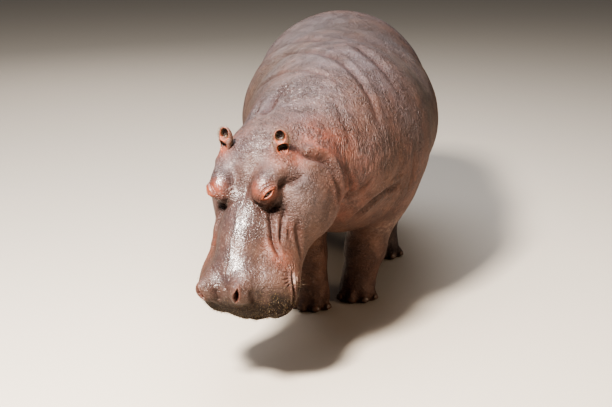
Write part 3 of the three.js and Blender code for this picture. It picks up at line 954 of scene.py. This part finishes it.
n.shade("Base Color", base)
dryness = n.math("SUBTRACT", 1.0, n.times(wet, n.ramp(patch, 0.3, 0.55, 0.75, 1.0)), clamp=True)
rough = n.ramp(n.math("ADD", dryness, n.times(fine, 0.15)), 0.05, 1.15, 0.27, 0.58)
n.shade("Roughness", n.math("ADD", rough, n.times(muck, 0.45), clamp=True))
n.shade("Specular IOR Level", 0.62)
n.shade("Subsurface Weight", 0.04)
n.shade("Subsurface Radius", (0.02, 0.008, 0.005))
n.shade("Subsurface Scale", 0.5)
n.shade("Coat Weight", 0.0)
grip = n.times(n.ramp(dryness, 0.0, 1.0, 0.35, 1.0), n.ramp(sleek, 0.0, 1.0, 1.0, 0.3))
lumps = n.times(n.noise(where, 46.0, 4, 0.6), n.ramp(smooth, 0.0, 1.0, 1.0, 0.2))
relief = n.bump(n.times(streaks, sleek), 0.012, 0.6)
relief = n.bump(n.times(net_wide, wide_depth), 0.0050, 0.7, relief)
relief = n.bump(n.times(net_fine, fine_depth), 0.0042, 0.9, relief)
relief = n.bump(lumps, 0.005, 0.5, relief)
relief = n.bump(n.times(pores, grip), 0.0014, 0.6, relief)
relief = n.bump(n.times(fine, grip), 0.0018, 0.6, relief)
n.shade("Normal", relief)
skin.data.materials.append(hide)
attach(skin, "root")
flesh = [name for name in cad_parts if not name.startswith(("eye", "ear")) and "nail" not in name]
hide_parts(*flesh)

# ---------- ears ----------

EAR_SIZE = 0.92
# The right ear is held further back than the left one.
EAR_PLACES = {
    LEFT: placement([152, -66, 78], [-34, 24, 20], "ZYX"),
    RIGHT: placement([-146, -62, 78], [-40, 0, -15], "ZYX"),
}


def ear_frame(side):
    return HEAD @ EAR_PLACES[side] @ Matrix.Scale(EAR_SIZE, 4)


def ear_hollows(side):
    return [ellipsoid([side * -3, -24, 84], [27, 33, 34]), ellipsoid([side * 7, -30, 20], [30, 38, 29])]


def ear_field(side):
    return Field([
        mass(ellipsoid([0, 0, 62], [41, 24, 56])),
        mass(taper([0, 4, -30], 38, [0, 0, 34], 32), 22),
        *[hollow(shape, 6) for shape in ear_hollows(side)],
        mass(ellipsoid([side * -12, -12, 52], [24, 10, 7]), 16),
        mass(ellipsoid([side * -30, -14, 26], [8, 11, 26]), 10),
    ])


def transformed(place, p):
    return p @ np.array(place.to_3x3()).T + np.array(place.translation)


ear_skin, n = material("ear_skin")
where = n.add("TexCoord").outputs["Object"]
inner = n.attribute("inner")
mottle = n.noise(where, 60.0, 4, 0.6)
outer_colour = n.mix(mottle, (0.10, 0.055, 0.046, 1), (0.20, 0.115, 0.095, 1))
inner_colour = n.mix(mottle, (0.20, 0.050, 0.024, 1), (0.36, 0.110, 0.055, 1))
colour = n.mix(inner, outer_colour, inner_colour)
# the bottom of the ear's hollows painted near black: painted shade
colour = n.mix(n.attribute("deep"), colour, (0.010, 0.004, 0.003, 1))
wrinkle = n.cells(where, 150.0, "DISTANCE_TO_EDGE")
# painted shade in the wrinkle lines
colour = n.mix(n.ramp(wrinkle, 0.0, 0.2, 0.35, 0.0), colour, (0.07, 0.035, 0.03, 1))
n.shade("Base Color", colour)
n.shade("Roughness", n.ramp(n.noise(where, 200.0, 3), 0.3, 0.7, 0.36, 0.5))
n.shade("Subsurface Weight", 0.12)
n.shade("Subsurface Radius", (0.02, 0.008, 0.005))
n.shade("Subsurface Scale", 0.4)
relief = n.bump(n.ramp(wrinkle, 0, 0.2), 0.0014, 0.6)
n.shade("Normal", n.bump(n.noise(where, 140.0, 4), 0.002, 0.5, relief))

ear_rims = []
for side, name in ((LEFT, "left"), (RIGHT, "right")):
    field = ear_field(side)
    p, q = polygonise(field, [-52, -44, -60], [52, 36, 126], 2.4)
    p, slope = onto_surface(field, p, 2, 2.0)
    walls = np.maximum.reduce([np.exp(-((shape(p) / 4) ** 2)) for shape in ear_hollows(side)])
    inner = np.clip(walls * 1.3, 0, 1)
    # the depths of the hollows, which get the painted shade
    deep = walls * np.clip((p[:, 1] + 18) / 14, 0, 1)
    p = p + slope * (noise(p, 14, 21) * 0.8 + noise(p, 30, 22) * 1.2)[:, None]
    ear = add_mesh("ear_skin_" + name, to_part(transformed(ear_frame(side), p)), q)
    attribute(ear.data, "inner", inner)
    attribute(ear.data, "deep", np.clip(deep, 0, 1))
    ear.data.materials.append(ear_skin)
    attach(ear, "root")
    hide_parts("ear_" + name)
    ear_rims.append((side, name, p, slope))

# ---------- eyes ----------

eye_look, n = material("eye_look")
gaze = n.attribute("gaze", "Vector")
parts = n.add("SeparateXYZ", {"Vector": gaze})
spread = n.add("VectorMath", {0: gaze, 1: (0, 1, 1)}, operation="MULTIPLY").outputs[0]
off_axis = n.add("VectorMath", {0: spread}, operation="LENGTH").outputs["Value"]
threads = n.noise(n.add("VectorMath", {0: spread}, operation="NORMALIZE").outputs[0], 9.0, 4)
iris = n.mix(threads, (0.030, 0.012, 0.006, 1), (0.100, 0.045, 0.018, 1))
veins = n.ramp(n.noise(gaze, 7.0, 5, 0.7, 1.2), 0.5, 0.62)
white = n.mix(veins, (0.30, 0.20, 0.16, 1), (0.16, 0.05, 0.035, 1))
colour = n.mix(n.ramp(off_axis, 0.64, 0.72), iris, white)
pupil = n.add("VectorMath", {0: gaze, 1: (0, 1.0, 2.0)}, operation="MULTIPLY").outputs[0]
pupil = n.add("VectorMath", {0: pupil}, operation="LENGTH").outputs["Value"]
colour = n.mix(n.ramp(pupil, 0.30, 0.36), (0.004, 0.003, 0.003, 1), colour)
n.shade("Base Color", colour)
n.shade("Roughness", n.ramp(n.noise(gaze, 12.0, 2), 0.3, 0.7, 0.05, 0.12))
n.shade("Coat Weight", 1.0)
n.shade("Coat Roughness", 0.02)
for side, name in ((LEFT, "left"), (RIGHT, "right")):
    rings, turns = 40, 64
    theta = np.linspace(0, math.pi, rings + 1)[1:-1]
    phi = np.arange(turns) * 2 * math.pi / turns
    t, f = np.meshgrid(theta, phi, indexing="ij")
    ball = np.stack([np.cos(t), np.sin(t) * np.cos(f), np.sin(t) * np.sin(f)], -1).reshape(-1, 3)
    ball = np.concatenate([ball, [[1, 0, 0], [-1, 0, 0]]])
    grid = np.arange((rings - 1) * turns).reshape(rings - 1, turns)
    nxt = np.roll(grid, -1, axis=1)
    faces = np.stack([grid[:-1], grid[1:], nxt[1:], nxt[:-1]], -1).reshape(-1, 4)
    pole = len(ball) - 2
    caps = [np.array([pole, a, b]) for a, b in zip(grid[0], nxt[0])]
    caps += [np.array([pole + 1, b, a]) for a, b in zip(grid[-1], nxt[-1])]
    # the cornea stands a little proud of the ball
    bulge = 1 + 0.05 * np.clip((ball[:, 0] - 0.74) / 0.26, 0, 1) ** 0.8
    shape = ball * bulge[:, None] * (EYE_RADIUS - 0.6) @ np.array(eye_axes) + EYE
    if side == RIGHT:
        shape, faces, caps = shape * [-1, 1, 1], faces[:, ::-1], [cap[::-1] for cap in caps]
    eye = add_mesh("eyeball_" + name, to_part(from_head(shape)), faces, caps)
    attribute(eye.data, "gaze", ball)
    eye.data.materials.append(eye_look)
    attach(eye, "root")
    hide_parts("eye_" + name)

# ---------- nails ----------

nail_look, n = material("nail_look")
where = n.add("TexCoord").outputs["Object"]
growth = n.noise(n.scaled(where, (30, 30, 260)), 1.0, 4, 0.6)
colour = n.mix(growth, (0.030, 0.018, 0.013, 1), (0.120, 0.068, 0.046, 1))
colour = n.mix(n.ramp(n.noise(where, 45.0, 4), 0.45, 0.65, 0, 0.6), colour, (0.130, 0.055, 0.034, 1))
n.shade("Base Color", colour)
n.shade("Roughness", n.ramp(growth, 0.3, 0.7, 0.32, 0.5))
n.shade("Normal", n.bump(growth, 0.0012, 0.6))
nail_field = Field([
    mass(ellipsoid([0, 0, 0], [22, 12, 21])),
    hollow(ellipsoid([0, 19, -4], [20, 16, 26]), 5),
    hollow(lambda p: p[:, 2] + 14, 6),
])
nail_points, nail_quads = polygonise(nail_field, [-28, -20, -28], [28, 20, 28], 2.4)
nail_points, nail_slopes = onto_surface(nail_field, nail_points, 2, 2.0)
growth_rings = noise(nail_points * np.array([1, 1, 3], np.float32), 12, 31) * 0.6
nail_points = nail_points + nail_slopes * growth_rings[:, None]
for leg_name in LEGS:
    for i, angle in enumerate(TOE_ANGLES):
        toe = foot_frame(leg_name) @ placement([0, 0, 0], [0, 0, angle])
        place = toe @ placement([0, -TOE_REACH - 43, 27], [-14, 0, 0])
        at = to_part(transformed(place, nail_points))
        nail = add_mesh("%s_hoof_%d" % (leg_name, i + 1), at, nail_quads)
        nail.data.materials.append(nail_look)
        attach(nail, "root")
        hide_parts("%s_nail_%d" % (leg_name, i + 1))

# ---------- bristles ----------

bristle_look, n = material("bristle_look")
where = n.add("TexCoord").outputs["Object"]
colour = n.mix(n.noise(where, 70.0, 3), (0.040, 0.024, 0.014, 1), (0.30, 0.22, 0.13, 1))
n.shade("Base Color", colour)
n.shade("Roughness", n.ramp(n.noise(where, 300.0, 2), 0.3, 0.7, 0.3, 0.5))
n.shade("Normal", n.bump(n.noise(n.scaled(where, (1, 1, 0.2)), 900.0, 2), 0.0003, 0.5))
RING = np.arange(3) * 2 * math.pi / 3
CIRCLE = np.stack([np.cos(RING), np.sin(RING)], 1)
PATCH = 0.003
chance = np.random.default_rng(7)


def unit(v):
    return v / np.linalg.norm(v, axis=-1, keepdims=True)


def bristles(name, roots, directions, lengths, radius, unwrapped):
    """Thin bent cones. Each has its own small patch of the map OFBake, at its root's unwrapped place."""
    count = len(roots)
    directions = unit(directions)
    across = unit(np.cross(directions, unit(chance.normal(size=(count, 3)))))
    beside = np.cross(directions, across)
    circle = CIRCLE[:, :1] * across[:, None] + CIRCLE[:, 1:] * beside[:, None]
    lengths = lengths[:, None]
    bend = across * lengths * chance.uniform(0.05, 0.22, (count, 1))
    foot_ring = (roots - directions * 2)[:, None] + circle * radius
    middle_ring = (roots + directions * lengths * 0.55 + bend * 0.3)[:, None] + circle * radius * 0.75
    tip = (roots + directions * lengths + bend)[:, None]
    points = np.concatenate([foot_ring, middle_ring, tip], 1).reshape(-1, 3)
    strand = [[a, (a + 1) % 3, 3 + a] for a in range(3)]
    strand += [[(a + 1) % 3, 3 + (a + 1) % 3, 3 + a] for a in range(3)]
    strand += [[3 + a, 3 + (a + 1) % 3, 6] for a in range(3)]
    faces = (np.arange(count)[:, None, None] * 7 + np.array(strand)).reshape(-1, 3)
    made = add_mesh(name, to_part(points), faces)
    spread = np.concatenate([CIRCLE, 0.6 * CIRCLE, [[0, 0]]])
    places = (unwrapped[:, None] * (1 - 2 * PATCH) + PATCH + spread * PATCH / 2).reshape(-1, 2)
    layer = made.data.uv_layers.new(name="OFBake")
    layer.data.foreach_set("uv", places[faces.ravel()].astype(np.float32).ravel())
    made.data.materials.append(bristle_look)
    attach(made, "root")


def around_axis(x, y, along, low, high):
    """The unwrap of a round body: the angle about its axis, and the place along it."""
    turn = np.arctan2(x, y) / (2 * math.pi) + 0.5
    return np.stack([turn, np.clip((along - low) / (high - low), 0, 1)], 1)


def picked_by(weight, count):
    return chance.choice(len(weight), count, replace=False, p=weight / weight.sum())


def strayed_by(amount, count):
    return chance.normal(scale=amount, size=(count, 3))


def on_muzzle(picked):
    x, y, z = local[picked].T
    return around_axis(x, z + 120, y, -850, 100)


LIP_COUNT, WHISKER_COUNT, FRINGE_COUNT, TAIL_COUNT = 900, 14, 260, 900

# short stiff ones on lips and chin, thickest along the lower edge of the muzzle
on_lips = np.clip((-local[:, 1] - 640) / 120, 0, 1) * np.clip((-40 - local[:, 2]) / 160, 0, 1) * on_head
on_lips *= np.clip(noise(local, 16, 17) + 0.35, 0, 1)
picked = picked_by(on_lips, LIP_COUNT)
hanging = outward[picked] + np.array([0, -0.35, -0.75]) * 0.5 + strayed_by(0.25, LIP_COUNT)
lengths = chance.uniform(7, 18, LIP_COUNT)
bristles("lip_bristles", points[picked], hanging, lengths, 0.6, on_muzzle(picked))

# a few long whiskers at the corners of the mouth
at_corners = spots(local, mirrored([(250, -625, -165, 26, 1)]))
picked = picked_by(at_corners, WHISKER_COUNT)
spreading = outward[picked] + strayed_by(0.3, WHISKER_COUNT)
lengths = chance.uniform(16, 42, WHISKER_COUNT)
bristles("mouth_whiskers", points[picked], spreading, lengths, 0.5, on_muzzle(picked))

# the fringe of the ears
for side, name, p, slope in ear_rims:
    rim = np.exp(-(((p[:, 1] + 6) / 9) ** 2)) * (p[:, 2] > 14) * (np.abs(slope[:, 1]) < 0.6)
    picked = picked_by(rim, FRINGE_COUNT)
    leaning = slope[picked] * 0.8 + np.array([0, -0.5, 0.7]) + strayed_by(0.25, FRINGE_COUNT)
    leaning = leaning @ np.array(ear_frame(side).to_3x3()).T
    lengths = chance.uniform(7, 17, FRINGE_COUNT)
    x, y, z = p[picked].T
    roots = transformed(ear_frame(side), p[picked])
    bristles("ear_fringe_" + name, roots, leaning, lengths, 0.45, around_axis(x, y, z, -60, 126))

# the tuft of the tail
on_tail = (points[:, 1] > 1960) * (points[:, 2] > 470)
at_tip = np.clip((760 - points[:, 2]) / 200, 0, 1) * on_tail * (0.3 + np.abs(outward[:, 0]))
picked = picked_by(at_tip, TAIL_COUNT)
hanging = outward[picked] * 0.55 + np.array([0, 0, -1.0]) + strayed_by(0.15, TAIL_COUNT)
lengths = chance.uniform(35, 75, TAIL_COUNT)
x, y, z = points[picked].T
bristles("tail_bristles", points[picked], hanging, lengths, 0.9, around_axis(x, y - 2005, z, 460, 1200))

# ---------- floor and light ----------

bpy.ops.mesh.primitive_plane_add(size=40)
floor = bpy.context.object
floor.name = "floor"
pale, n = material("pale")
n.shade("Base Color", (0.44, 0.39, 0.335, 1))
n.shade("Roughness", 0.9)
floor.data.materials.append(pale)

world = bpy.data.worlds.new("studio")
bpy.context.scene.world = world
world.use_nodes = True
world.node_tree.nodes["Background"].inputs["Color"].default_value = (0.95, 0.97, 1, 1)
world.node_tree.nodes["Background"].inputs["Strength"].default_value = 0.12


def area_light(name, at, target, size, power, colour=(1, 1, 1)):
    data = bpy.data.lights.new(name, "AREA")
    data.size = size
    data.energy = power
    data.color = colour
    light = bpy.data.objects.new(name, data)
    bpy.context.collection.objects.link(light)
    light.location = at
    light.rotation_mode = "QUATERNION"
    light.rotation_quaternion = (Vector(target) - Vector(at)).to_track_quat("-Z", "Y")
    return light


area_light("key", (-2.3, -5.0, 5.6), (0, -0.4, 0.8), 1.1, 1850, (1, 0.95, 0.88))
area_light("sky", (-0.6, 1.2, 6.5), (0, 0, 0.9), 6.0, 420, (0.84, 0.91, 1))
area_light("back", (-3.0, 6.5, 4.0), (0, 0.8, 0.8), 3.0, 70, (1, 0.93, 0.88))
area_light("fill", (4.8, -3.0, 1.6), (0, 0, 0.7), 3.0, 150, (1, 0.80, 0.60))
